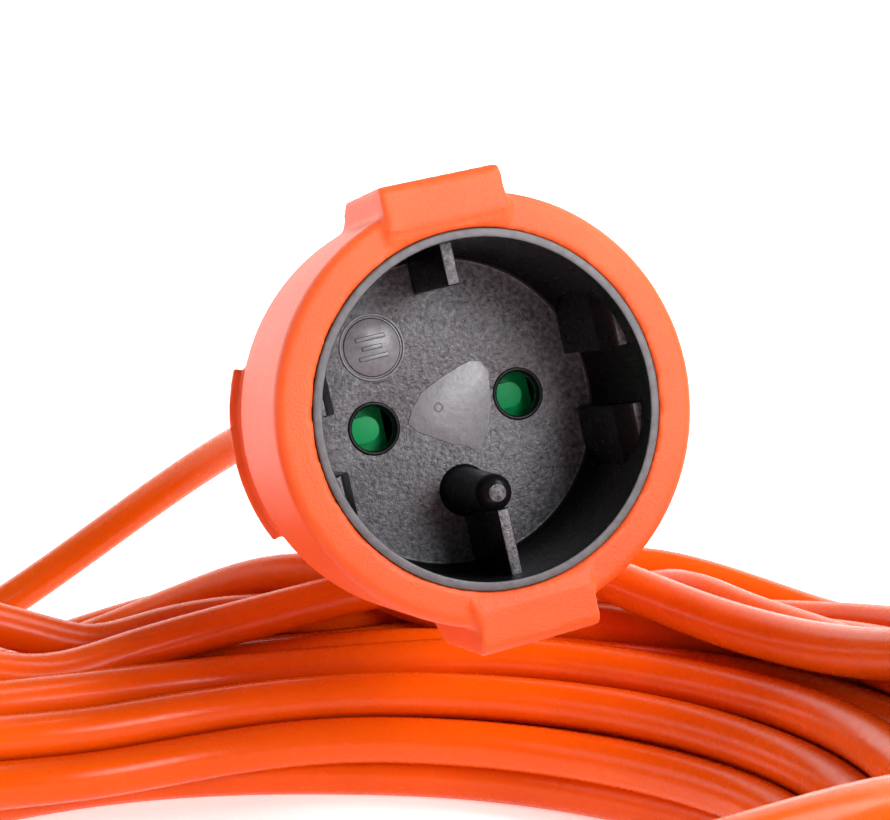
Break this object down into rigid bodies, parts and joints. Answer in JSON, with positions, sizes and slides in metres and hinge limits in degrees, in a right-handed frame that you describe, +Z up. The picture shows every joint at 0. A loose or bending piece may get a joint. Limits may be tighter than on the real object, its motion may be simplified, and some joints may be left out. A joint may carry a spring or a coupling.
{
  "type": "extension cord",
  "caption": "Orange garden extension cord wound in a coil, with a round in-line socket with a recessed black insert, keying peg and green safety shutter, and a flat-sided two-pin plug.",
  "frame": {"origin": "on the floor, in the middle of the wound section of the coil, straight below the socket's axis", "axes": "+Z up; the socket faces -Y, tilted up by 4.5 degrees and rolled 12 degrees about its own axis, as it lies on the coil"},
  "size_m": [0.204, 0.2558, 0.0842],
  "materials": {
    "orange_housing": "soft orange PVC moulding with a fine grain",
    "orange_cable": "smooth orange PVC sheath",
    "black_insert": "black thermoplastic, spark-textured floor",
    "green_shutter": "green moulded plastic",
    "brass": "bright stamped brass",
    "spring_steel": "drawn spring wire",
    "nickel_pin": "nickel-plated brass",
    "brown_core": "brown PVC core insulation",
    "blue_core": "blue PVC core insulation",
    "black_tie": "black woven hook-and-loop tape"
  },
  "bodies": {
    "extension_cord": {"socket_body": "orange_housing", "socket_insert": "black_insert", "insert_face": "black_insert", "shutter_carrier": "black_insert", "insert_core": "black_insert", "insert_cover": "black_insert", "shutter_spring": "spring_steel", "contact_left": "brass", "contact_right": "brass", "socket_core_brown": "brown_core", "socket_core_blue": "blue_core", "socket_strain_relief": "orange_housing", "cable_lead": "orange_cable", "cable_coil": "orange_cable", "coil_tie_1": "black_tie", "coil_tie_2": "black_tie", "cable_tail": "orange_cable", "plug_strain_relief": "orange_housing", "plug_body": "orange_housing", "plug_bridge": "black_insert", "plug_pin_left": "nickel_pin", "plug_pin_right": "nickel_pin", "plug_core_brown": "brown_core", "plug_core_blue": "blue_core"},
    "shutter": {"shutter": "green_shutter"}
  },
  "joints": [
    {"name": "shutter_slide", "type": "slide", "parent": "extension_cord", "child": "shutter", "axis": [-0.9781, -0.0163, -0.2073], "range_m": [0, 0.0058], "stiffness_N_per_m": 150, "springref_m": -0.004, "deforming": ["shutter_spring"]}
  ]
}
